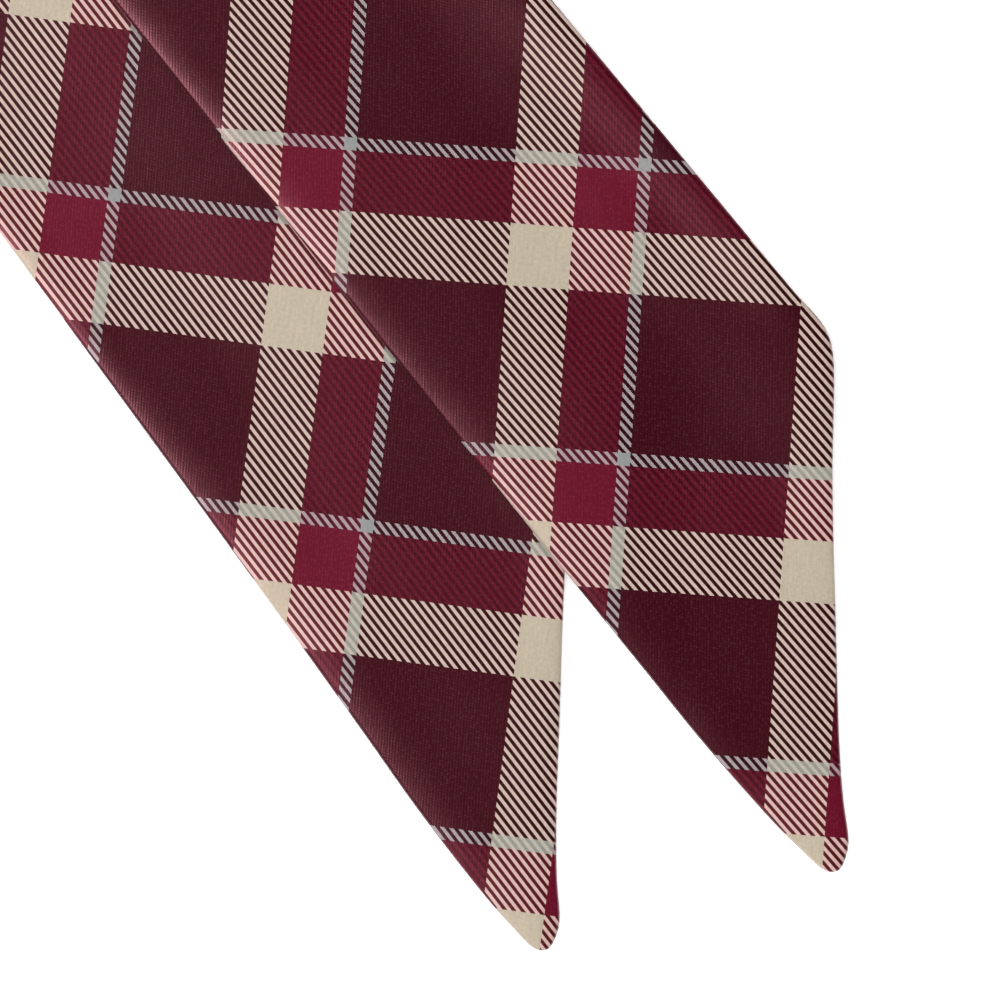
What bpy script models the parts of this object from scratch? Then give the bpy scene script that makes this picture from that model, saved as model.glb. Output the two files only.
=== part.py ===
"""A hair scarf, folded once across its middle and laid down flat.

The scarf is a long narrow tube of light printed cloth. A front panel and a back panel of one
shape, a strip with both ends cut on the slant, are sewn together all round and turned. Folded
across, its two pointed tails lie side by side: the upper tail rests on the lower one along one
side, and slopes down to the floor beyond it.

The front panel is on the outside of the fold: under the lower tail and on top of the upper one.
Each panel has three stretches, and each of them is a solid of its own.

Frame: metres, +Z up, the floor at z = 0. +X runs along the lower tail to its point, +Y from the
lower tail to the upper one. The origin is below the middle of the whole scarf.

Flat frame: "along" runs the length of the strip, from the lower point at -LENGTH / 2 to the
upper one at +LENGTH / 2, and "across" from the long edge to the short one.
"""

import math
from collections import namedtuple

import bmesh
import bpy

# The sewn strip, laid out flat
LENGTH = 1.200  # from point to point, which is the long edge
WIDTH = 0.0503  # across the widest place of a tail
WALL = 0.0010  # one panel, with its share of the seam allowance
SEAM_GAP = 0.0003  # between the two panels, and between any two stretches
RIM = 0.0050  # how far in from the seam a panel is rounded
EDGE_SHARE = 0.25  # how much of the wall is left right at the seam

# How it lies
TAIL_ANGLE = math.radians(3.56)  # between the two tails, seen from above
TIP_LEAD = 0.0150  # how much farther the upper end reaches, along the strip's middle
DRIFT = 0.0016  # how far the upper tail bends aside, away from the lower one
DRIFT_LENGTH = 0.400  # over this length from the fold
FOLD_RADIUS = 0.00285  # of the soft loop where the strip turns over, half-way through the tube
FOLD_SETTLE = 0.028  # the length over which the upper tail comes down from the loop
DRAPE_START = 0.003  # how far inside the lower tail's edge the upper one starts to slope
DRAPE_LENGTH = 0.022  # and how long its slope to the floor is
DRAPE_GROWS = 0.060  # the slope begins softly over this length from the loop
EDGE_PULL = 0.0034  # how far the upper tail's long edge is pulled in behind its tail
PULL_START = 0.040  # that pull begins this far behind the point
PULL_FULL = 0.220  # is whole here
PULL_END = 0.420  # and is gone here

# What follows from these sizes
TUBE = 2 * WALL + SEAM_GAP
STACK = TUBE + SEAM_GAP
SKEW = TAIL_ANGLE / 2  # how far the fold is turned from square to the strip
MIDDLE = WIDTH / 2
FOLD_BEGIN = -(TIP_LEAD + math.pi * FOLD_RADIUS) / 2  # where the strip leaves the floor
FOLD_TOP = FOLD_BEGIN + math.pi * FOLD_RADIUS
LOOP_LEAD = 0.006  # the flat stretch on the floor that still belongs to the fold's solids
LOWER_STOP = FOLD_BEGIN - LOOP_LEAD
UPPER_STOP = FOLD_TOP + FOLD_SETTLE + LOOP_LEAD

# The outline of one tail, the same for both: each place's distance behind the point, and across
EdgePlace = namedtuple("EdgePlace", "name back across")
OUTLINE = (
    EdgePlace("long edge", back=LENGTH, across=0.0005),
    EdgePlace("long edge", back=0.0900, across=0.0005),
    EdgePlace("long edge", back=0.0600, across=0.0004),
    EdgePlace("long edge", back=0.0400, across=0.0002),
    EdgePlace("long edge", back=0.0260, across=0.0000),
    EdgePlace("long edge", back=0.0113, across=0.0004),
    EdgePlace("long edge", back=0.0040, across=0.0011),
    EdgePlace("long edge", back=0.0009, across=0.0017),
    EdgePlace("point", back=-0.0002, across=0.0031),
    EdgePlace("slanted end", back=0.0005, across=0.0050),
    EdgePlace("slanted end", back=0.0021, across=0.0069),
    EdgePlace("slanted end", back=0.0070, across=0.0100),
    EdgePlace("slanted end", back=0.0138, across=0.0149),
    EdgePlace("slanted end", back=0.0248, across=0.0235),
    EdgePlace("slanted end", back=0.0424, across=0.0374),
    EdgePlace("slanted end", back=0.0530, across=0.0465),
    EdgePlace("corner", back=0.0564, across=0.0490),
    EdgePlace("short edge", back=0.0590, across=0.0501),
    EdgePlace("short edge", back=0.0618, across=0.0503),
    EdgePlace("short edge", back=0.0660, across=0.0501),
    EdgePlace("short edge", back=LENGTH, across=0.0501),
)
CURVE_STEPS = 8  # straight pieces between two places of an edge

# How fine the solids are
RIM_COLUMNS = (0.0, 0.0005, 0.0012, 0.0022, 0.0034, RIM)  # in from either edge
UPPER_COLUMNS = 8  # more columns, between the two rims
LOWER_COLUMNS = 4
FIRST_ROW = 0.0006  # the rows behind the slanted end start this close
ROW_GROWTH = 1.25  # grow apart by this
LONGEST_ROW = 0.032  # and are never farther apart than this
LOOP_ROWS = 9  # round the half circle of the loop
SETTLE_ROWS = 6

# The cloth's colours
BURGUNDY = (0.068, 0.010, 0.018, 1.0)
CRIMSON = (0.165, 0.014, 0.035, 1.0)


def clear_scene():
    for thing in list(bpy.data.objects):
        bpy.data.objects.remove(thing, do_unlink=True)


def smooth_step(value):
    value = min(max(value, 0.0), 1.0)
    return value * value * (3 - 2 * value)


def curve_through(places):
    """A smooth line through (back, across) places, with CURVE_STEPS pieces from each to the next."""
    points = [places[0], *places, places[-1]]
    line = []
    for before, here, there, after in zip(points, points[1:], points[2:], points[3:]):
        for step in range(CURVE_STEPS):
            line.append(between(before, here, there, after, step / CURVE_STEPS))
    return [*line, places[-1]]


def between(before, here, there, after, share):
    """A point on the curve from here to there, whose slopes follow the places on either side."""
    gap = math.dist(here, there)
    slope_here = tangent(before, here, there, gap)
    slope_there = tangent(here, there, after, gap)
    rise = smooth_step(share)
    lead = share * (1 - share) ** 2
    tail = share * share * (share - 1)
    return tuple(
        here[i] + (there[i] - here[i]) * rise + slope_here[i] * lead + slope_there[i] * tail
        for i in range(2)
    )


def tangent(before, here, after, gap):
    """The curve's direction at a place, as long as the gap that it leads through."""
    reach = math.dist(before, here) + math.dist(here, after)
    return tuple((after[i] - before[i]) * gap / reach for i in range(2))


def split_outline():
    """The tail's three edges: both sides run towards the slanted end, and that from the point."""
    names = [place.name for place in OUTLINE]
    line = curve_through([(place.back, place.across) for place in OUTLINE])
    point = names.index("point") * CURVE_STEPS
    corner = names.index("corner") * CURVE_STEPS
    return {
        "long": line[: point + 1],
        "slanted": line[point : corner + 1],
        "short": line[: corner - 1 : -1],
    }


EDGES = split_outline()


def line_length(line):
    return sum(math.dist(start, end) for start, end in zip(line, line[1:]))


def point_along(line, distance):
    """The point this far along a line from its first end."""
    for start, end in zip(line, line[1:]):
        step = math.dist(start, end)
        if distance <= step and step > 0:
            share = distance / step
            return tuple(start[i] + (end[i] - start[i]) * share for i in range(2))
        distance -= step
    return line[-1]


def distance_to_line(point, line):
    nearest = math.inf
    for start, end in zip(line, line[1:]):
        run = [end[i] - start[i] for i in range(2)]
        square = run[0] ** 2 + run[1] ** 2
        if square == 0:
            continue
        share = sum((point[i] - start[i]) * run[i] for i in range(2)) / square
        share = min(max(share, 0.0), 1.0)
        foot = [start[i] + run[i] * share for i in range(2)]
        nearest = min(nearest, math.dist(point, foot))
    return nearest


def distance_to_seam(back, across):
    return min(distance_to_line((back, across), line) for line in EDGES.values())


def short_side_at(back):
    """How far across the strip reaches, this far behind its point."""
    line = EDGES["slanted"] + EDGES["short"][-2::-1]
    for start, end in zip(line, line[1:]):
        if start[0] <= back < end[0]:
            share = (back - start[0]) / (end[0] - start[0])
            return start[1] + (end[1] - start[1]) * share
    return 0.0


def beyond_lower_tail(level, side):
    """How far a place, seen from above, lies outside the lower tail's short and slanted edges."""
    turn = FOLD_BEGIN - level
    along = turn * math.cos(SKEW) + side * math.sin(SKEW)
    across = MIDDLE - turn * math.sin(SKEW) + side * math.cos(SKEW)
    back = LENGTH / 2 + along
    distance = min(distance_to_line((back, across), EDGES[name]) for name in ("slanted", "short"))
    inside = across < short_side_at(back)
    return -distance if inside else distance


def pulled_in(along, across):
    """Where a flat place lies across the upper tail, whose long edge is pulled in a little."""
    back = LENGTH / 2 - along
    pull = smooth_step((back - PULL_START) / (PULL_FULL - PULL_START))
    pull -= smooth_step((back - PULL_FULL) / (PULL_END - PULL_FULL))
    return across + EDGE_PULL * pull * (1 - across / WIDTH)


def middle_of_tube(turn, side):
    """The middle surface of the tube: its place and its outward direction, in the fold's frame.

    "turn" is the flat distance square to the fold, and "side" is the distance along the fold.
    """
    low = TUBE / 2
    if turn <= FOLD_BEGIN:
        return (FOLD_BEGIN - turn, side, low), (0.0, -1.0)
    if turn <= FOLD_TOP:
        angle = (turn - FOLD_BEGIN) / FOLD_RADIUS
        level = -FOLD_RADIUS * math.sin(angle)
        height = low + FOLD_RADIUS * (1 - math.cos(angle))
        return (level, side, height), (-math.sin(angle), -math.cos(angle))
    level = turn - FOLD_TOP
    side += DRIFT * smooth_step(level / DRIFT_LENGTH)
    loop_height = 2 * FOLD_RADIUS - STACK
    height = low + STACK + loop_height * (1 - smooth_step(level / FOLD_SETTLE))
    drop = smooth_step((beyond_lower_tail(level, side) + DRAPE_START) / DRAPE_LENGTH)
    height -= STACK * drop * smooth_step(level / DRAPE_GROWS)
    return (level, side, height), (0.0, 1.0)


def laid_down(along, across, outward):
    """A flat place of the strip, this far out from the middle of the tube, as it lies."""
    if along > 0:
        across = pulled_in(along, across)
    turn = along * math.cos(SKEW) - (across - MIDDLE) * math.sin(SKEW)
    side = along * math.sin(SKEW) + (across - MIDDLE) * math.cos(SKEW)
    (level, side, height), (out_level, out_height) = middle_of_tube(turn, side)
    level += outward * out_level
    height += outward * out_height
    return (
        level * math.cos(SKEW) - side * math.sin(SKEW),
        level * math.sin(SKEW) + side * math.cos(SKEW),
        height,
    )


def column_shares(inner_columns):
    """Where the columns run across the strip, as shares of its width, close at both rims."""
    rim = [column / WIDTH for column in RIM_COLUMNS]
    step = (1 - 2 * rim[-1]) / (inner_columns + 1)
    inner = [rim[-1] + step * (i + 1) for i in range(inner_columns)]
    return rim + inner + [1 - share for share in reversed(rim)]


def row_shares(length):
    """Where the rows run along a tail, as shares of its length, close at its slanted end."""
    rows = [0.0]
    step = FIRST_ROW
    while rows[-1] + step < length:
        rows.append(rows[-1] + step)
        step = min(step * ROW_GROWTH, LONGEST_ROW)
    return [0.0, *(1 - row / length for row in reversed(rows))]


def across_line(turn, share):
    """The flat place on a line along the fold, this share of the way across the strip."""
    across = OUTLINE[0].across
    across += (OUTLINE[-1].across - across) * share
    along = (turn + (across - MIDDLE) * math.sin(SKEW)) / math.cos(SKEW)
    return along, across


def tail_edge(edge, start_back):
    """An edge of a tail from the given place to its slanted end, without what lies before."""
    kept = [place for place in EDGES[edge] if place[0] < start_back]
    return [(start_back, kept[0][1]), *kept]


def tail_rows(end, stop, inner_columns):
    """Flat places of a tail, from its line at the fold to its slanted end, row by row.

    "end" is -1 for the lower tail and 1 for the upper one. Rows turn from the fold's direction
    to the slant, and columns from one edge to the other, blended from the four borders.
    """
    corners = [across_line(stop, share) for share in (0.0, 1.0)]
    long_edge, short_edge = (
        tail_edge(name, LENGTH / 2 - end * along)
        for name, (along, across) in zip(("long", "short"), corners)
    )
    lengths = [line_length(line) for line in (long_edge, short_edge, EDGES["slanted"])]
    columns = column_shares(inner_columns)
    rows = []
    for u in row_shares(lengths[0]):
        left = point_along(long_edge, u * lengths[0])
        right = point_along(short_edge, u * lengths[1])
        row = []
        for v in columns:
            along, across = across_line(stop, v)
            first = (LENGTH / 2 - end * along, across)
            last = point_along(EDGES["slanted"], v * lengths[2])
            row.append(blend_borders(left, right, first, last, long_edge, short_edge, u, v))
        rows.append(row)
    return [[(end * (LENGTH / 2 - back), across) for back, across in row] for row in rows]


def blend_borders(left, right, first, last, long_edge, short_edge, u, v):
    return tuple(
        (1 - v) * left[i]
        + v * right[i]
        + (1 - u) * (first[i] - (1 - v) * long_edge[0][i] - v * short_edge[0][i])
        + u * (last[i] - (1 - v) * long_edge[-1][i] - v * short_edge[-1][i])
        for i in range(2)
    )


def fold_rows():
    """Flat places of the fold, on lines along it."""
    turns = [LOWER_STOP + SEAM_GAP]
    turns += [FOLD_BEGIN + (FOLD_TOP - FOLD_BEGIN) * i / LOOP_ROWS for i in range(LOOP_ROWS + 1)]
    turns += [FOLD_TOP + FOLD_SETTLE * (i + 1) / SETTLE_ROWS for i in range(SETTLE_ROWS)]
    turns.append(UPPER_STOP - SEAM_GAP)
    return [[across_line(turn, share) for share in column_shares(UPPER_COLUMNS)] for turn in turns]


def wall_at(along, across):
    """The panel's thickness, which rounds off towards the seam."""
    distance = min(distance_to_seam(LENGTH / 2 - abs(along), across), RIM)
    roundness = math.sqrt(1 - (1 - distance / RIM) ** 2)
    return WALL * (EDGE_SHARE + (1 - EDGE_SHARE) * roundness)


def make_panel(name, rows, outside, material):
    """One stretch of a panel: a closed wall between two curved faces over the flat places.

    "outside" is 1 for the front panel, on the outside of the fold, and -1 for the back one.
    """
    mesh = bpy.data.meshes.new(name)
    shape = bmesh.new()
    inner, outer = [], []
    for row in rows:
        near, far = [], []
        for along, across in row:
            depth = SEAM_GAP / 2
            near.append(shape.verts.new(laid_down(along, across, outside * depth)))
            depth += wall_at(along, across)
            far.append(shape.verts.new(laid_down(along, across, outside * depth)))
        inner.append(near)
        outer.append(far)
    for sheet in (inner, outer):
        for row, after in zip(sheet, sheet[1:]):
            for i in range(len(row) - 1):
                shape.faces.new((row[i], row[i + 1], after[i + 1], after[i]))
    for near, far in zip(border(inner), border(outer)):
        shape.faces.new((near[0], near[1], far[1], far[0]))
    bmesh.ops.recalc_face_normals(shape, faces=shape.faces)
    shape.to_mesh(mesh)
    shape.free()
    mesh.shade_smooth()
    mesh.set_sharp_from_angle(angle=math.radians(50))
    mesh.materials.append(material)
    panel = bpy.data.objects.new(name, mesh)
    bpy.context.scene.collection.objects.link(panel)
    return panel


def border(sheet):
    """The pairs of neighbours round a sheet of points."""
    ring = sheet[0][:-1]
    ring += [row[-1] for row in sheet[:-1]]
    ring += sheet[-1][:0:-1]
    ring += [row[0] for row in sheet[:0:-1]]
    return list(zip(ring, ring[1:] + ring[:1]))


def make_cloth(name, colour):
    cloth = bpy.data.materials.new(name)
    cloth.use_nodes = True
    shader = cloth.node_tree.nodes["Principled BSDF"]
    shader.inputs["Base Color"].default_value = colour
    shader.inputs["Roughness"].default_value = 0.75
    shader.inputs["Metallic"].default_value = 0.0
    return cloth


def centre_on_floor(panels):
    """Puts all panels under one empty, with the origin below the middle of the scarf."""
    places = [vertex.co for panel in panels for vertex in panel.data.vertices]
    lowest = [min(place[i] for place in places) for i in range(3)]
    highest = [max(place[i] for place in places) for i in range(3)]
    scarf = bpy.data.objects.new("hair_scarf", None)
    bpy.context.scene.collection.objects.link(scarf)
    for panel in panels:
        panel.parent = scarf
        panel.location = (
            -(lowest[0] + highest[0]) / 2,
            -(lowest[1] + highest[1]) / 2,
            -lowest[2],
        )


def main():
    clear_scene()
    stretches = {
        "lower_tail": tail_rows(-1, LOWER_STOP, LOWER_COLUMNS),
        "fold": fold_rows(),
        "upper_tail": tail_rows(1, UPPER_STOP, UPPER_COLUMNS),
    }
    front_cloth = make_cloth("front_cloth", BURGUNDY)
    back_cloth = make_cloth("back_cloth", CRIMSON)
    panels = []
    for stretch, rows in stretches.items():
        panels.append(make_panel(f"front_{stretch}", rows, 1, front_cloth))
        panels.append(make_panel(f"back_{stretch}", rows, -1, back_cloth))
    centre_on_floor(panels)


main()
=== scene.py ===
"""The hair scarf as the camera sees it: thin cloth in place of the plain solids.

Each of the six stretches becomes a thin closed shell on its solid's form, with a rounded seam
edge, soft swells and a printed plaid on a fine weave. All sizes are in metres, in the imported
model's frame: +X runs along the lower tail to its point, +Y from the lower tail to the upper.

Flat frame: "along" runs the length of the sewn strip, from the lower point at -LENGTH / 2 to the
upper one at +LENGTH / 2, and "across" from the long edge to the short one.
"""

import math
from collections import namedtuple

import bmesh
import bpy
import numpy as np
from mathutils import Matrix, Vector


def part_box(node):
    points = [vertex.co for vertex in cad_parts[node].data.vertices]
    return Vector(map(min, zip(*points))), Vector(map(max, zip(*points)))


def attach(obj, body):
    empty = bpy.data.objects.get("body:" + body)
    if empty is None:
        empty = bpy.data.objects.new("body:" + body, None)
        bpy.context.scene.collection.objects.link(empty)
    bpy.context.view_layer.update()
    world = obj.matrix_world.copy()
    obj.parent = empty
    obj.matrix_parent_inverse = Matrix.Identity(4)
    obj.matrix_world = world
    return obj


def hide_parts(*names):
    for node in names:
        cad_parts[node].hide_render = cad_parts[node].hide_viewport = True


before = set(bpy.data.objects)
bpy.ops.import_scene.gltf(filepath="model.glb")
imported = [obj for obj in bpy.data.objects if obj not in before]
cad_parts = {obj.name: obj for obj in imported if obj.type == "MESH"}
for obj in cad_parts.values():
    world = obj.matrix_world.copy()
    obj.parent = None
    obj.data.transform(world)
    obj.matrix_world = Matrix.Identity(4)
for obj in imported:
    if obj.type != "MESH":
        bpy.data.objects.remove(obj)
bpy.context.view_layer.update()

# The sewn strip and how it lies, as in the solids
LENGTH = 1.200  # of the long edge, from point to point
WIDTH = 0.0503
WALL = 0.0010  # thickness of a panel
SEAM_GAP = 0.0003  # between the two panels, and between the two tails
TAIL_ANGLE = math.radians(3.56)  # between the tails
TIP_LEAD = 0.0150  # how much longer the upper tail is than the lower one
DRIFT = 0.0016  # the upper tail curves this far sideways, over DRIFT_LENGTH from the fold
DRIFT_LENGTH = 0.400
FOLD_RADIUS = 0.00285  # of the tube's middle round the fold
FOLD_SETTLE = 0.028  # behind the fold the upper tail takes this long to come down
DRAPE_START = 0.003  # it bends to the floor from this far inside the lower tail's edge
DRAPE_LENGTH = 0.022  # and is down after this length
DRAPE_GROWS = 0.060  # which it does in full from this far behind the fold
EDGE_PULL = 0.0034  # the most that the upper tail's long edge is pulled in
PULL_START = 0.040  # which starts, is full and ends this far behind the point
PULL_FULL = 0.220
PULL_END = 0.420
TUBE = 2 * WALL + SEAM_GAP  # thickness of a whole tail
STACK = TUBE + SEAM_GAP  # how far the upper tail lies above the lower one
SKEW = TAIL_ANGLE / 2
MIDDLE = WIDTH / 2
FOLD_BEGIN = -(TIP_LEAD + math.pi * FOLD_RADIUS) / 2
FOLD_TOP = FOLD_BEGIN + math.pi * FOLD_RADIUS
LOOP_LEAD = 0.006  # how far the fold's own stretch reaches into both tails
LOWER_STOP = FOLD_BEGIN - LOOP_LEAD
UPPER_STOP = FOLD_TOP + FOLD_SETTLE + LOOP_LEAD

# The outline of one tail, the same for both: each place's distance behind the point, and across
EdgePlace = namedtuple("EdgePlace", "name back across")
OUTLINE = (
    EdgePlace("long edge", back=LENGTH, across=0.0005),
    EdgePlace("long edge", back=0.0900, across=0.0005),
    EdgePlace("long edge", back=0.0600, across=0.0004),
    EdgePlace("long edge", back=0.0400, across=0.0002),
    EdgePlace("long edge", back=0.0260, across=0.0000),
    EdgePlace("long edge", back=0.0113, across=0.0004),
    EdgePlace("long edge", back=0.0040, across=0.0011),
    EdgePlace("long edge", back=0.0009, across=0.0017),
    EdgePlace("point", back=-0.0002, across=0.0031),
    EdgePlace("slanted end", back=0.0005, across=0.0050),
    EdgePlace("slanted end", back=0.0021, across=0.0069),
    EdgePlace("slanted end", back=0.0070, across=0.0100),
    EdgePlace("slanted end", back=0.0138, across=0.0149),
    EdgePlace("slanted end", back=0.0248, across=0.0235),
    EdgePlace("slanted end", back=0.0424, across=0.0374),
    EdgePlace("slanted end", back=0.0530, across=0.0465),
    EdgePlace("corner", back=0.0564, across=0.0490),
    EdgePlace("short edge", back=0.0590, across=0.0501),
    EdgePlace("short edge", back=0.0618, across=0.0503),
    EdgePlace("short edge", back=0.0660, across=0.0501),
    EdgePlace("short edge", back=LENGTH, across=0.0501),
)
CURVE_STEPS = 8  # pieces of the smooth outline from each of these places to the next

# Soft swells in the cloth. A crest's middle is this far behind the point and this far across. It
# reaches this far each way along the tail, leans this far across for each step back, and has a
# flank on each side. The upper tail lies on the lower one's swells too.
Swell = namedtuple("Swell", "tail back across lean reach left right height")
SWELLS = (
    Swell("lower", back=0.124, across=0.011, lean=0.02, reach=0.098,
          left=0.025, right=0.030, height=-0.0006),
    Swell("lower", back=0.084, across=0.005, lean=0.07, reach=0.089,
          left=0.011, right=0.012, height=0.0003),
    Swell("lower", back=0.042, across=0.032, lean=0.07, reach=0.061,
          left=0.018, right=0.008, height=-0.0003),
    Swell("upper", back=0.105, across=0.041, lean=0.10, reach=0.140,
          left=0.027, right=0.048, height=0.0022),
    Swell("upper", back=0.098, across=0.053, lean=-0.08, reach=0.065,
          left=0.013, right=0.020, height=0.0018),
    Swell("upper", back=0.055, across=0.045, lean=0.30, reach=0.045,
          left=0.016, right=0.020, height=0.0011),
    Swell("upper", back=0.133, across=0.033, lean=0.15, reach=0.059,
          left=0.017, right=0.028, height=0.0006),
    Swell("upper", back=0.045, across=0.010, lean=0.39, reach=0.035,
          left=0.015, right=0.026, height=0.0014),
)
SWELL_HEM = 0.006  # the lower tail's swells die out over this width beside its seam
SWELL_FREE = 0.020  # there are none this near the fold, and they grow over as much again

# The cloth's shell
CLOTH = 0.0003  # how thick the cloth is
RIM = 0.0045  # how far in from the seam the tube is rounded
EDGE_SHARE = 0.38  # how much of its thickness it has right beside the seam
SEAM_TURN = 0.0003  # radius of the turned seam edge
SEAM_EDGE = 0.00004  # how far the cloth's outside is from the tube's middle right at the seam
PUCKER = 0.00005  # how high the gathers beside the seam are
PUCKER_WIDTH = 0.006  # and how far in from it they reach
GATHER_WAVES = (0.0031, 0.0047, 0.0083, 0.0121)  # from crest to crest
GATHER_HEADING = (0.9, 0.7)  # the way that the gathers follow each other, back and across
GATHER_SHIFT = 7  # how many radians each wave starts after the one before

# Its mesh: columns run along the strip and rows across it
RIM_COLUMNS = (  # how far the columns beside a seam are from it
    0.0, 0.00008, 0.0002, 0.0004, 0.0007, 0.0011, 0.0016, 0.0022, 0.0029, 0.0037, 0.0046, 0.0056,
)
COLUMN_STEP = 0.0014  # between the other columns
FIRST_ROW = 0.00015  # from the slanted end to the next row
ROW_GROWTH = 1.2  # how much longer each step is than the one before
LONGEST_ROW = 0.0016
FOLD_ROWS = 64
SHARP_ANGLE = math.radians(60)

# Its bake map: bands, each with a part of the rows, below a strip for the two open ends
BAKE_EDGE = 0.003  # room left beside each band
BAKE_RIM = 0.012  # how much of a band's height the cloth's own thickness gets at a seam
BAKE_INNER = 0.13  # and how much the inner sheet
BAKE_CAPS = 0.02  # how much of the map's height both open ends get
BAKE_CAP_DEPTHS = (0.9, 0.45)  # how far below the map's top each of them starts, as shares of that
BAKE_CAP_HEIGHT = 0.35  # and how high it is

# The printed plaid
PLAID_REPEAT = 0.04122
PLAID_TURN = math.radians(46.15)  # from the tail's length to the plaid's own
BLUE_BAND = 0.00177
DARK_BAND = 0.02228
CREAM_BAND = 0.00859  # and the red band's width
HATCH_LINES = 31  # slanted lines in a repeat
HATCH_SHIFT = 0.285  # how far they are from a blue crossing, as a share of a line
HATCH_SHARPNESS = 1.8  # how hard their sides are

# A blue crossing on each panel: how far behind the point of the tail that shows it, and across
Crossing = namedtuple("Crossing", "back across")
FRONT_CROSSING = Crossing(back=0.06330, across=0.01668)
BACK_CROSSING = Crossing(back=0.06254, across=0.01763)


def smooth_step(value):
    """From 0 to 1 as the value goes from 0 to 1, level at both ends."""
    value = np.clip(value, 0.0, 1.0)
    return value * value * (3 - 2 * value)


def hill(distance, half_width):
    """A smooth hump of height 1, which is gone this far from its middle."""
    return 1 - smooth_step(np.abs(distance) / half_width)


# ---------------------------------------------------------------- the strip's outline


def curve_through(places):
    """A smooth line through places, with CURVE_STEPS pieces from each to the next."""
    points = np.array([places[0], *places, places[-1]])
    line = []
    for before, here, there, after in zip(points, points[1:], points[2:], points[3:]):
        gap = math.dist(here, there)
        slope_here = (there - before) * gap / (math.dist(before, here) + gap)
        slope_there = (after - here) * gap / (gap + math.dist(there, after))
        for step in range(CURVE_STEPS):
            share = step / CURVE_STEPS
            rise = share * share * (3 - 2 * share)
            lead = share * (1 - share) ** 2
            tail = share * share * (share - 1)
            line.append(here + (there - here) * rise + slope_here * lead + slope_there * tail)
    return np.array([*line, points[-1]])


def split_outline():
    """The tail's three edges: both sides run towards the slanted end, and that from the point."""
    names = [place.name for place in OUTLINE]
    line = curve_through([(place.back, place.across) for place in OUTLINE])
    point = names.index("point") * CURVE_STEPS
    corner = names.index("corner") * CURVE_STEPS
    return {
        "long": line[: point + 1],
        "slanted": line[point : corner + 1],
        "short": line[: corner - 1 : -1],
    }


EDGES = split_outline()


def lengths_along(line):
    """How far along a line each of its points is."""
    steps = np.hypot(*np.diff(line, axis=0).T)
    return np.concatenate([[0.0], np.cumsum(steps)])


def points_along(line, shares):
    """Points of a line at these shares of its length."""
    run = lengths_along(line)
    return np.stack([np.interp(shares * run[-1], run, line[:, i]) for i in range(2)], axis=-1)


def distance_to_lines(back, across, names):
    """The distance from flat places to the nearest of the tail's named edges."""
    nearest = np.full(np.shape(back), np.inf)
    for name in names:
        line = EDGES[name]
        for start, end in zip(line, line[1:]):
            run = end - start
            square = run @ run
            if square == 0:
                continue
            share = ((back - start[0]) * run[0] + (across - start[1]) * run[1]) / square
            share = np.clip(share, 0.0, 1.0)
            gap = np.hypot(back - start[0] - share * run[0], across - start[1] - share * run[1])
            nearest = np.minimum(nearest, gap)
    return nearest


def under_upper_tail(level, side):
    """The lower tail's flat places, back and across, below these places seen from above."""
    turn = FOLD_BEGIN - level
    along = turn * math.cos(SKEW) + side * math.sin(SKEW)
    return LENGTH / 2 + along, MIDDLE - turn * math.sin(SKEW) + side * math.cos(SKEW)


def beyond_lower_tail(level, side):
    """How far places, seen from above, lie outside the lower tail's short and slanted edges."""
    back, across = under_upper_tail(level, side)
    distance = distance_to_lines(back, across, ("slanted", "short"))
    side_line = np.concatenate([EDGES["slanted"], EDGES["short"][-2::-1]])
    limit = np.interp(back, side_line[:, 0], side_line[:, 1], left=0.0)
    return np.where(across < limit, -distance, distance)


# ---------------------------------------------------------------- how the strip lies


def pulled_in(along, across):
    """Where flat places lie across the upper tail, whose long edge is pulled in a little."""
    back = LENGTH / 2 - along
    pull = smooth_step((back - PULL_START) / (PULL_FULL - PULL_START))
    pull = pull - smooth_step((back - PULL_FULL) / (PULL_END - PULL_FULL))
    moved = across + EDGE_PULL * pull * (1 - across / WIDTH)
    return np.where(along > 0, moved, across)


def swells(tail, back, across):
    """How far a tail's cloth stands up from the solid's form, in soft swells."""
    rise = np.zeros(np.shape(back))
    for crest in SWELLS:
        if crest.tail != tail:
            continue
        over = across - crest.across - crest.lean * (back - crest.back)
        flank = np.where(over < 0, crest.left, crest.right)
        rise = rise + crest.height * hill(over, flank) * hill(back - crest.back, crest.reach)
    return rise


def lift_of(along, across, outward, level, side):
    """How far swells lift the cloth: the lower tail's top panel, and all of the upper tail."""
    back = LENGTH / 2 - np.abs(along)
    held_down = smooth_step(distance_to_lines(back, across, EDGES) / SWELL_HEM)
    on_top = np.where(np.asarray(outward) < 0, 1.0, 0.0)
    lower = swells("lower", back, across) * held_down * on_top
    upper = swells("upper", back, across) + swells("lower", *under_upper_tail(level, side))
    fade = smooth_step((np.abs(along) - SWELL_FREE) / SWELL_FREE)
    return np.where(along > 0, upper, lower) * fade


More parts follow.
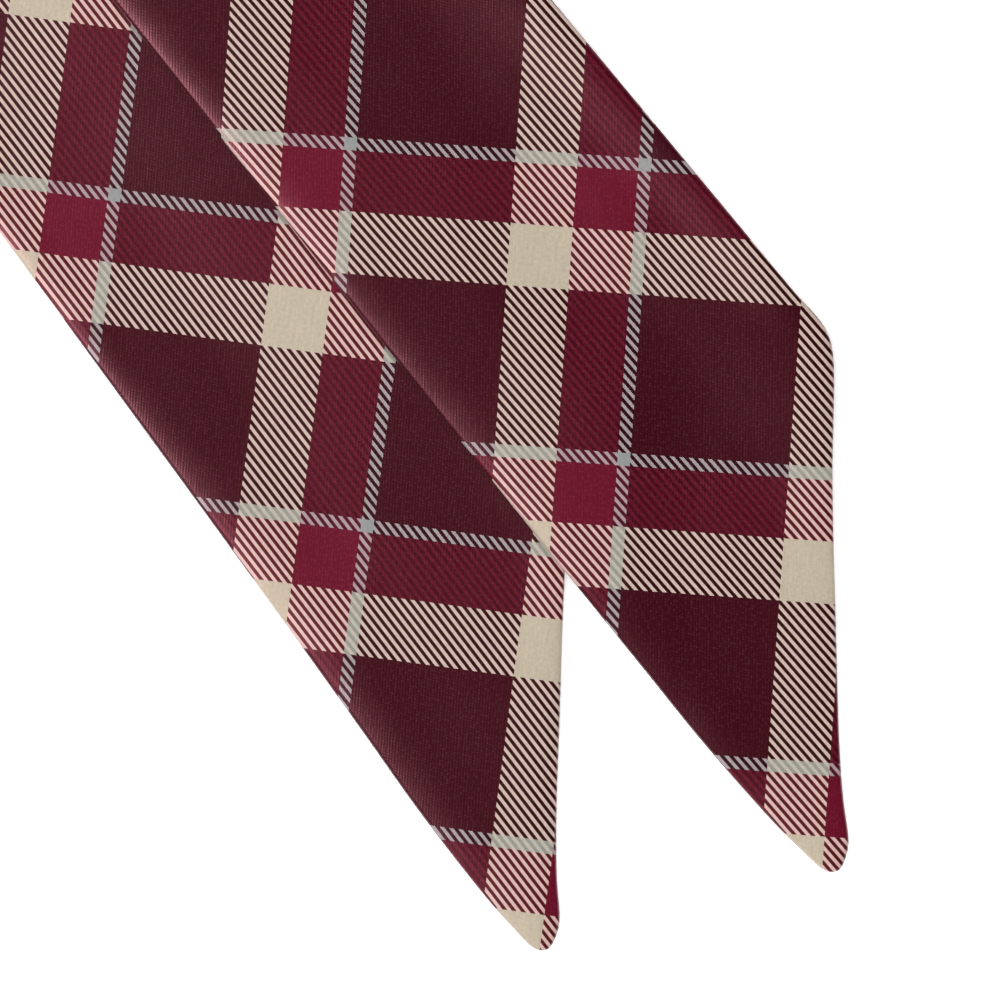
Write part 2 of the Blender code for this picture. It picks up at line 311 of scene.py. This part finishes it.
def middle_of_tube(turn, side, along, across, outward):
    """The middle surface of the tube: its place and its outward direction, in the fold's frame."""
    low = TUBE / 2
    level = turn - FOLD_TOP
    moved = side + DRIFT * smooth_step(level / DRIFT_LENGTH)
    lift = lift_of(along, across, outward, level, moved)
    height = low + STACK
    height = height + (2 * FOLD_RADIUS - STACK) * (1 - smooth_step(level / FOLD_SETTLE))
    drop = smooth_step((beyond_lower_tail(level, moved) + DRAPE_START) / DRAPE_LENGTH)
    height = height - STACK * drop * smooth_step(level / DRAPE_GROWS) + lift
    angle = np.clip((turn - FOLD_BEGIN) / FOLD_RADIUS, 0.0, math.pi)
    on_floor = turn <= FOLD_BEGIN
    on_top = turn > FOLD_TOP
    zones = [on_floor, on_top]
    place = (
        np.select(zones, [FOLD_BEGIN - turn, level], -FOLD_RADIUS * np.sin(angle)),
        np.where(on_top, moved, side),
        np.select(zones, [low + lift, height], low + FOLD_RADIUS * (1 - np.cos(angle))),
    )
    outward = (
        np.select(zones, [0.0, 0.0], -np.sin(angle)),
        np.select(zones, [-1.0, 1.0], -np.cos(angle)),
    )
    return place, outward


def laid_down(along, across, outward):
    """Flat places of the strip, this far out from the middle of the tube, as they lie."""
    pulled = pulled_in(along, across)
    turn = along * math.cos(SKEW) - (pulled - MIDDLE) * math.sin(SKEW)
    side = along * math.sin(SKEW) + (pulled - MIDDLE) * math.cos(SKEW)
    place, (out_level, out_height) = middle_of_tube(turn, side, along, across, outward)
    level, side, height = place
    level = level + outward * out_level
    height = height + outward * out_height
    return np.stack(
        [
            level * math.cos(SKEW) - side * math.sin(SKEW),
            level * math.sin(SKEW) + side * math.cos(SKEW),
            height,
        ],
        axis=-1,
    )


def find_offset():
    """From the fold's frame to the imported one, by the lower tail's outline in both."""
    edges = np.concatenate([EDGES[name] for name in ("long", "slanted", "short")])
    edges = edges[edges[:, 0] < LENGTH / 2]
    place = laid_down(edges[:, 0] - LENGTH / 2, edges[:, 1], 0.0)
    low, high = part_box("front_lower_tail")
    return np.array([high.x - place[:, 0].max(), low.y - place[:, 1].min(), 0.0])


OFFSET = find_offset()


# ---------------------------------------------------------------- rows and columns


def column_shares():
    """Where the columns run across the strip, as shares of its width, close at both rims."""
    rim = np.array(RIM_COLUMNS) / WIDTH
    steps = round((WIDTH - 2 * RIM_COLUMNS[-1]) / COLUMN_STEP)
    inner = np.linspace(rim[-1], 1 - rim[-1], 1 + steps)
    return np.concatenate([rim, inner[1:-1], 1 - rim[::-1]])


def row_shares(length):
    """Where the rows run along a tail, as shares of its length, close at its slanted end."""
    rows = [0.0]
    step = FIRST_ROW
    while rows[-1] + step < length - LONGEST_ROW / 2:
        rows.append(rows[-1] + step)
        step = min(step * ROW_GROWTH, LONGEST_ROW)
    return np.array([0.0, *(1 - row / length for row in reversed(rows))])


def across_line(turn, shares):
    """Flat places on a line along the fold, at these shares of the way across the strip."""
    first = OUTLINE[0].across
    across = first + (OUTLINE[-1].across - first) * shares
    along = (turn + (across - MIDDLE) * math.sin(SKEW)) / math.cos(SKEW)
    return np.stack(np.broadcast_arrays(along, across), axis=-1)


def tail_edge(name, start_back):
    """An edge of a tail from the given place to its slanted end, without what lies before."""
    line = EDGES[name]
    kept = line[line[:, 0] < start_back]
    return np.concatenate([[(start_back, kept[0, 1])], kept])


def tail_grid(end, stop):
    """Flat places of a tail, from its line at the fold to its slanted end, row by row.

    "end" is -1 for the lower tail and 1 for the upper one. Rows turn from the fold's direction
    to the slant, and columns from one edge to the other, blended from the four borders.
    """
    columns = column_shares()
    first = across_line(stop, columns)
    first[:, 0] = LENGTH / 2 - end * first[:, 0]
    last = points_along(EDGES["slanted"], columns)
    long_edge = tail_edge("long", first[0, 0])
    short_edge = tail_edge("short", first[-1, 0])
    rows = row_shares(lengths_along(long_edge)[-1])
    left = points_along(long_edge, rows)[:, None]
    right = points_along(short_edge, rows)[:, None]
    u = rows[:, None, None]
    v = columns[None, :, None]
    grid = (1 - v) * left + v * right
    grid = grid + (1 - u) * (first[None] - (1 - v) * first[0] - v * first[-1])
    grid = grid + u * (last[None] - (1 - v) * last[0] - v * last[-1])
    return np.stack([end * (LENGTH / 2 - grid[..., 0]), grid[..., 1]], axis=-1)


def fold_grid():
    """Flat places of the fold, on lines along it."""
    turns = np.linspace(LOWER_STOP, UPPER_STOP, FOLD_ROWS)
    return np.stack([across_line(turn, column_shares()) for turn in turns])


# ---------------------------------------------------------------- the shells


def gathers(back, across):
    """Small gathers along the seam, from waves of unlike lengths."""
    run = back * GATHER_HEADING[0] + across * GATHER_HEADING[1]
    rise = sum(
        np.sin(2 * math.pi * run / wave + GATHER_SHIFT * i) for i, wave in enumerate(GATHER_WAVES)
    )
    return rise / len(GATHER_WAVES)


def outer_depth(along, across):
    """How far the cloth's outside is from the middle of the tube."""
    back = LENGTH / 2 - np.abs(along)
    seam = distance_to_lines(back, across, EDGES)
    rim = np.clip(seam / RIM, 0.0, 1.0)
    turn = np.clip(seam / SEAM_TURN, 0.0, 1.0)
    depth = SEAM_GAP / 2 + WALL * (EDGE_SHARE + (1 - EDGE_SHARE) * np.sqrt(1 - (1 - rim) ** 2))
    depth = SEAM_EDGE + (depth - SEAM_EDGE) * np.sqrt(1 - (1 - turn) ** 2)
    near_seam = hill(seam, PUCKER_WIDTH) * turn
    return depth + PUCKER * gathers(back, across) * near_seam


def plaid_places(along, across, outside):
    """The cloth's own coordinates, in repeats of the plaid from one of its blue crossings."""
    across = pulled_in(along, across)
    if outside > 0:  # the front panel's print is placed by the upper tail, as seen from above
        run = along - (LENGTH / 2 - FRONT_CROSSING.back)
        over = across - FRONT_CROSSING.across
    else:  # and the back panel's by the lower one
        run = -(LENGTH / 2 - BACK_CROSSING.back) - along
        over = across - BACK_CROSSING.across
    u = run * math.cos(PLAID_TURN) + over * math.sin(PLAID_TURN)
    v = run * math.sin(PLAID_TURN) - over * math.cos(PLAID_TURN)
    return np.stack([u, v], axis=-1) / PLAID_REPEAT


def bake_heights():
    """Where the loop round a row lies in its band of the bake map, from 0 to 1."""
    shares = column_shares()
    outer = 1 - BAKE_INNER - 2 * BAKE_RIM - 2 * BAKE_EDGE
    heights = [BAKE_EDGE + outer * share for share in shares]
    top = heights[-1] + BAKE_RIM
    heights += [top + BAKE_INNER * share for share in shares]
    return [*heights, heights[-1] + BAKE_RIM]


def bake_place(share):
    """The place in the bake map's width for this share of a run."""
    return BAKE_EDGE + (1 - 2 * BAKE_EDGE) * share


def shell_faces(rows, columns, bands):
    """A shell's faces over the loops of points round its rows, and their bake map corners."""
    around = 2 * columns
    faces = []
    bake = []
    heights = bake_heights()
    for band in range(bands):
        begin = band * (rows - 1) // bands
        end = (band + 1) * (rows - 1) // bands
        for i in range(begin, end):
            here, there = i * around, (i + 1) * around
            left, right = (bake_place((k - begin) / (end - begin)) for k in (i, i + 1))
            for j in range(around):
                k = (j + 1) % around
                faces.append((here + j, here + k, there + k, there + j))
                low, high = ((band + heights[m]) * (1 - BAKE_CAPS) / bands for m in (j, j + 1))
                bake.append(((left, low), (left, high), (right, high), (right, low)))
    # the two open ends, between the outer sheet and the inner one
    for cap_depth, row in zip(BAKE_CAP_DEPTHS, (0, rows - 1)):
        low = 1 - BAKE_CAPS * cap_depth
        high = low + BAKE_CAPS * BAKE_CAP_HEIGHT
        for j in range(columns - 1):
            corners = (j, j + 1, around - 2 - j, around - 1 - j)
            faces.append(tuple(row * around + corner for corner in corners))
            left, right = (bake_place(k / (columns - 1)) for k in (j, j + 1))
            bake.append(((left, low), (right, low), (right, high), (left, high)))
    return faces, bake


def make_shell(name, grid, outside, bands):
    """A thin closed shell of cloth over a grid of flat places.

    The outer and inner sheets make one loop round each row: outer columns, then the inner ones
    back again. "bands" is how many bands its bake map has.
    """
    along, across = grid[..., 0], grid[..., 1]
    depth = outer_depth(along, across)
    inner = np.maximum(depth - CLOTH, SEAM_EDGE / 2)
    sheets = [laid_down(along, across, outside * far) + OFFSET for far in (depth, inner)]
    loop = np.concatenate([sheets[0], sheets[1][:, ::-1]], axis=1)
    cloth_places = plaid_places(along, across, outside)
    cloth_loop = np.concatenate([cloth_places, cloth_places[:, ::-1]], axis=1)
    faces, bake = shell_faces(*along.shape, bands)

    mesh = bpy.data.meshes.new(name)
    mesh.from_pydata(loop.reshape(-1, 3).tolist(), [], faces)
    cloth_map = mesh.uv_layers.new(name="Cloth")
    bake_map = mesh.uv_layers.new(name="OFBake")
    corner_points = np.array(faces).reshape(-1)
    cloth_map.data.foreach_set("uv", cloth_loop.reshape(-1, 2)[corner_points].reshape(-1))
    bake_map.data.foreach_set("uv", np.array(bake).reshape(-1))
    shape = bmesh.new()
    shape.from_mesh(mesh)
    bmesh.ops.recalc_face_normals(shape, faces=shape.faces)
    shape.to_mesh(mesh)
    shape.free()
    mesh.shade_smooth()
    mesh.set_sharp_from_angle(angle=SHARP_ANGLE)
    piece = bpy.data.objects.new(name, mesh)
    bpy.context.scene.collection.objects.link(piece)
    return piece


# ---------------------------------------------------------------- the cloth's material

# The inks as they are seen without the sheen, in sRGB from 0 to 255
INKS = {
    "blue": (147, 153, 151),
    "dark": (59, 8, 20),
    "cream": (193, 182, 161),
    "red": (103, 15, 39),
}
LIGHT_LEVEL = 1.25  # how bright a white sheet is in this light
INK_GAMMA = 2.2  # inks are mixed in values coded like this, as the eye sees them
HUE_SPREAD = 0.31  # how much of each other's hue neighbouring lines take on
LINE_CONTRAST = 0.06  # and how much further apart their lightness is than the plain inks'

# The weave: ribs along the plaid's upright bands nearly, and picks across them
THREAD = 0.000404  # from one thread to the next
RIB_TURN = math.radians(-3.7)
PICK_TURN = math.radians(-82.0)
PICK_LIFT = 1.6  # over 1, so that ribs stand out between their dots too
DOT_HEIGHT = 0.19  # brings the dots to a height of about 1
GLINT_COLOUR = (0.85, 0.66, 0.70, 1.0)  # painted glint: a light colour painted on a dot, as if it caught the light
GLINT_SHARE = 0.022  # and how much of that painted glint the brightest dot adds to the ink
DOT_SPREAD = 2.4  # how unlike the dots' heights are
DOT_SINK = -0.3  # and the height of those that are least raised

# Places where the ink took less well, each from a noise of its own, and painted glints
FLECKS = 0.15  # how much darker the worst inked crossings are than the best
FLECK_AND_GLINT_SCALE = 0.9  # cells of that noise to a thread
GLINT_GAIN = 4.0  # how steeply a crossing's painted glint follows that noise
GLINT_LEVEL = -1.9  # low, so that few crossings get a painted glint
STREAKS = 0.16  # how much darker the worst inked lengths of thread are than the best
STREAK_SCALE = 0.9  # cells of that noise to a thread, across the streaks
STREAK_LENGTH = 7  # how many times as long as wide they are

# The finish
SHEEN_TINT = (1.0, 0.40, 0.48, 1.0)
ROUGHNESS = 0.35  # where the cloth is smoothest
ROUGHNESS_SPREAD = 0.08
PATCH_SCALE = 3.0  # patches of unlike roughness in a repeat


def ink(name):
    """An ink's share of light sent back, coded so that mixing follows the eye."""
    values = []
    for value in INKS[name]:
        value /= 255
        value = value / 12.92 if value <= 0.04045 else ((value + 0.055) / 1.055) ** 2.4
        values.append((value / LIGHT_LEVEL) ** (1 / INK_GAMMA))
    return (*values, 1.0)


class Nodes:
    """Builds a material's nodes from short expressions."""

    def __init__(self, material):
        self.tree = material.node_tree

    def add(self, kind, **values):
        node = self.tree.nodes.new(kind)
        for name, value in values.items():
            setattr(node, name, value)
        return node

    def link(self, source, target):
        """Gives a socket its value, or links it to another node's output."""
        if isinstance(source, tuple):
            target.default_value = source
        elif isinstance(source, (int, float)):
            target.default_value = (source,) * 3 if target.type == "VECTOR" else source
        else:
            self.tree.links.new(source, target)

    def math(self, operation, *inputs, clamp=False):
        node = self.add("ShaderNodeMath", operation=operation, use_clamp=clamp)
        for source, target in zip(inputs, node.inputs):
            self.link(source, target)
        return node.outputs[0]

    def vector(self, operation, *inputs):
        node = self.add("ShaderNodeVectorMath", operation=operation)
        for source, target in zip(inputs, node.inputs):
            self.link(source, target)
        return node.outputs[0]

    def scaled(self, source, share):
        node = self.add("ShaderNodeVectorMath", operation="SCALE")
        self.link(source, node.inputs[0])
        self.link(share, node.inputs["Scale"])
        return node.outputs[0]

    def noise(self, places, scale, detail):
        node = self.add("ShaderNodeTexNoise", noise_dimensions="2D")
        self.link(places, node.inputs["Vector"])
        node.inputs["Scale"].default_value = scale
        node.inputs["Detail"].default_value = detail
        return node.outputs[0]

    def lightness(self, colour):
        node = self.add("ShaderNodeRGBToBW")
        self.link(colour, node.inputs[0])
        return node.outputs[0]

    def bands(self, position):
        """Inks by the position in a repeat, from the middle of a blue band."""
        ramp = self.add("ShaderNodeValToRGB")
        ramp.color_ramp.interpolation = "CONSTANT"
        edges = np.cumsum([BLUE_BAND / 2, DARK_BAND, CREAM_BAND, CREAM_BAND]) / PLAID_REPEAT
        stops = zip((0.0, *edges), ("blue", "dark", "cream", "red", "blue"))
        elements = ramp.color_ramp.elements
        elements.remove(elements[1])
        for i, (place, name) in enumerate(stops):
            element = elements[0] if i == 0 else elements.new(place)
            element.position = place
            element.color = ink(name)
        self.link(position, ramp.inputs[0])
        return ramp.outputs[0]

    def mix(self, share, first, second):
        node = self.add("ShaderNodeMix", data_type="RGBA")
        self.link(share, node.inputs[0])
        self.link(first, node.inputs[6])
        self.link(second, node.inputs[7])
        return node.outputs[2]


def plaid_colour(n, u, v):
    """The print: where two unlike bands cross, slanted lines of one lie on the other.

    Upright bands follow u, and level ones follow v in the opposite order. Neighbouring lines
    share some hue, as fine print on cloth does.
    """
    upright = n.bands(n.math("FRACT", u))
    level = n.bands(n.math("FRACT", n.math("MULTIPLY", v, -1.0)))
    slant = n.math("MULTIPLY", n.math("SUBTRACT", u, v), float(HATCH_LINES))
    slant = n.math("SUBTRACT", slant, HATCH_SHIFT)
    wave = n.math("COSINE", n.math("MULTIPLY", slant, 2 * math.pi))
    line = n.math("MULTIPLY_ADD", wave, HATCH_SHARPNESS, 0.5, clamp=True)
    plain = n.mix(line, level, upright)
    side = n.math("MULTIPLY_ADD", line, 2.0, -1.0)  # 1 on an upright line and -1 on a level one
    apart = n.vector("SUBTRACT", level, upright)
    spread = n.scaled(apart, n.math("MULTIPLY", side, HUE_SPREAD))
    lighter = n.math("SUBTRACT", n.lightness(upright), n.lightness(level))
    contrast = n.math("MULTIPLY", n.math("MULTIPLY", side, lighter), HUE_SPREAD + LINE_CONTRAST)
    coded = n.vector("ADD", n.vector("ADD", plain, spread), contrast)
    gamma = n.add("ShaderNodeGamma")
    n.link(n.vector("MAXIMUM", coded, 0.0), gamma.inputs[0])
    gamma.inputs[1].default_value = INK_GAMMA
    return gamma.outputs[0]


def make_plaid_cloth(name):
    cloth = bpy.data.materials.new(name)
    cloth.use_nodes = True
    shader = cloth.node_tree.nodes["Principled BSDF"]
    n = Nodes(cloth)
    places = n.add("ShaderNodeUVMap", uv_map="Cloth").outputs[0]
    split = n.add("ShaderNodeSeparateXYZ")
    n.link(places, split.inputs[0])
    u, v = split.outputs[0], split.outputs[1]
    colour = plaid_colour(n, u, v)

    # two sets of threads, with a small dot where they cross, raised and given a painted glint
    per_repeat = PLAID_REPEAT / THREAD
    threads = []
    for angle in (RIB_TURN, PICK_TURN):
        place = n.math(
            "ADD",
            n.math("MULTIPLY", u, per_repeat * math.cos(angle) * 2 * math.pi),
            n.math("MULTIPLY", v, per_repeat * math.sin(angle) * 2 * math.pi),
        )
        threads.append(n.math("COSINE", place))
    ribs, picks = threads
    dots = n.math("MULTIPLY", n.math("ADD", ribs, 1.0), n.math("ADD", picks, PICK_LIFT))
    dots = n.math("MULTIPLY", dots, DOT_HEIGHT)

    # painted glints: some crossings are painted lighter, as if they caught more light than others
    flecks_and_glints = n.noise(places, scale=per_repeat * FLECK_AND_GLINT_SCALE, detail=0.0)
    painted_glint_mask = n.math("MULTIPLY_ADD", flecks_and_glints, GLINT_GAIN, GLINT_LEVEL, clamp=True)
    lightness = n.math("MULTIPLY", n.math("MULTIPLY", dots, painted_glint_mask), GLINT_SHARE)
    colour = n.mix(lightness, colour, GLINT_COLOUR)
    # and the same noise darkens crossings where the ink took less well
    colour = n.scaled(colour, n.math("MULTIPLY_ADD", flecks_and_glints, FLECKS, 1 - FLECKS / 2))

    # some lengths of thread took the ink a little better than others, and stand up more
    stretched = (per_repeat, per_repeat / STREAK_LENGTH, 0.0)
    streaks = n.noise(n.vector("MULTIPLY", places, stretched), scale=STREAK_SCALE, detail=1.0)
    inked = n.math("MULTIPLY_ADD", streaks, STREAKS, 1 - STREAKS / 2)
    n.link(n.scaled(colour, inked), shader.inputs["Base Color"])
    dots = n.math("MULTIPLY", dots, n.math("MULTIPLY_ADD", streaks, DOT_SPREAD, DOT_SINK))
    bump = n.add("ShaderNodeBump")
    bump.inputs["Strength"].default_value = 0.22
    bump.inputs["Distance"].default_value = 0.00006
    n.link(dots, bump.inputs["Height"])
    n.link(bump.outputs[0], shader.inputs["Normal"])

    patches = n.noise(places, scale=PATCH_SCALE, detail=2.0)
    rough = n.math("MULTIPLY_ADD", patches, ROUGHNESS_SPREAD, ROUGHNESS)
    n.link(rough, shader.inputs["Roughness"])
    shader.inputs["Specular IOR Level"].default_value = 0.60
    shader.inputs["Specular Tint"].default_value = SHEEN_TINT
    shader.inputs["Sheen Weight"].default_value = 0.02
    shader.inputs["Sheen Roughness"].default_value = 0.35
    shader.inputs["Sheen Tint"].default_value = SHEEN_TINT
    return cloth


# ---------------------------------------------------------------- the scene round it

FRAME_CENTRE = np.array([0.2341, -0.0080, 0.0015])  # what the middle of the picture shows
FRAME_SIDE = 0.140  # how much of the floor the picture shows
PICTURE_TURN = math.radians(53.8)  # from +X to the picture's right
PICTURE_RIGHT = np.array([math.cos(PICTURE_TURN), math.sin(PICTURE_TURN), 0.0])
PICTURE_UP = np.array([-PICTURE_RIGHT[1], PICTURE_RIGHT[0], 0.0])
CAMERA_HEIGHT = 1.2
SENSOR = 36.0  # in millimetres
NEAREST_SEEN = 0.01
FARTHEST_SEEN = 50.0
FLOOR_SIDE = 3.0  # how far the floor reaches each way
FLOOR_LEVEL = -0.0002  # just below the cloth
PAPER_GLOW = 0.45  # the paper is lit from below too, so that it stays white beside the cloth


def in_picture(right, up, height):
    """A place by its distance from the picture's middle, in metres."""
    return FRAME_CENTRE + PICTURE_RIGHT * right + PICTURE_UP * up + np.array([0, 0, height])


def make_camera():
    """The camera, straight above the middle of the picture."""
    data = bpy.data.cameras.new("camera")
    data.sensor_width = SENSOR
    data.lens = SENSOR * CAMERA_HEIGHT / FRAME_SIDE
    data.clip_start = NEAREST_SEEN
    data.clip_end = FARTHEST_SEEN
    camera = bpy.data.objects.new("camera", data)
    bpy.context.scene.collection.objects.link(camera)
    camera.location = in_picture(0, 0, CAMERA_HEIGHT)
    camera.rotation_euler = (0, 0, PICTURE_TURN)
    bpy.context.scene.camera = camera


def make_lamp(name, right, up, height, size, power, gloss):
    """A round lamp, aimed at the middle of the picture, for either the gloss or all the rest."""
    data = bpy.data.lights.new(name, "AREA")
    data.shape = "DISK"
    data.size = size
    data.energy = power
    # otherwise each lamp also shows in what it is kept out of
    data.cycles.use_multiple_importance_sampling = False
    lamp = bpy.data.objects.new(name, data)
    bpy.context.scene.collection.objects.link(lamp)
    lamp.visible_camera = False
    lamp.visible_glossy = gloss
    lamp.visible_diffuse = not gloss
    place = in_picture(right, up, height)
    lamp.location = place
    aim = Vector(FRAME_CENTRE) - Vector(place)
    lamp.rotation_euler = aim.to_track_quat("-Z", "Y").to_euler()


def make_floor():
    """A sheet of white paper under the cloth."""
    mesh = bpy.data.meshes.new("floor")
    corners = [(x * FLOOR_SIDE, y * FLOOR_SIDE, 0) for x, y in ((-1, -1), (1, -1), (1, 1), (-1, 1))]
    mesh.from_pydata(corners, [], [(0, 1, 2, 3)])
    floor = bpy.data.objects.new("floor", mesh)
    floor.location.z = FLOOR_LEVEL
    bpy.context.scene.collection.objects.link(floor)
    paper = bpy.data.materials.new("paper")
    paper.use_nodes = True
    shader = paper.node_tree.nodes["Principled BSDF"]
    shader.inputs["Base Color"].default_value = (0.92, 0.92, 0.92, 1)
    shader.inputs["Roughness"].default_value = 0.9
    shader.inputs["Specular IOR Level"].default_value = 0.0
    shader.inputs["Emission Color"].default_value = (1, 1, 1, 1)
    shader.inputs["Emission Strength"].default_value = PAPER_GLOW
    mesh.materials.append(paper)


def make_world():
    """White behind everything, which only the camera sees. The lamps alone light the cloth."""
    world = bpy.data.worlds.new("studio")
    bpy.context.scene.world = world
    world.use_nodes = True
    world.cycles_visibility.glossy = False
    world.cycles_visibility.diffuse = False
    background = world.node_tree.nodes["Background"]
    background.inputs[0].default_value = (1.0, 1.0, 1.0, 1)
    background.inputs[1].default_value = 1.0
    bpy.context.scene.view_settings.view_transform = "Standard"


Stretch = namedtuple("Stretch", "name grid held bands")


def main():
    make_camera()
    make_world()
    make_floor()
    make_lamp("soft", right=-0.6, up=0.0, height=1.6, size=4.0, power=97.0, gloss=False)
    make_lamp("key", right=-0.50, up=-0.05, height=0.60, size=0.2, power=6.0, gloss=True)
    stretches = (
        Stretch("lower_tail", tail_grid(end=-1, stop=LOWER_STOP), held="laid", bands=3),
        Stretch("fold", fold_grid(), held="folded", bands=1),
        Stretch("upper_tail", tail_grid(end=1, stop=UPPER_STOP), held="laid", bands=3),
    )
    panels = (("front", 1), ("back", -1))  # and which side of the tube each is on
    for side, outside in panels:
        material = make_plaid_cloth(f"{side}_plaid")
        for stretch in stretches:
            node = f"{side}_{stretch.name}"
            piece = make_shell(f"{node}_cloth", stretch.grid, outside, stretch.bands)
            piece.data.materials.append(material)
            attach(piece, "root")
            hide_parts(node)


main()
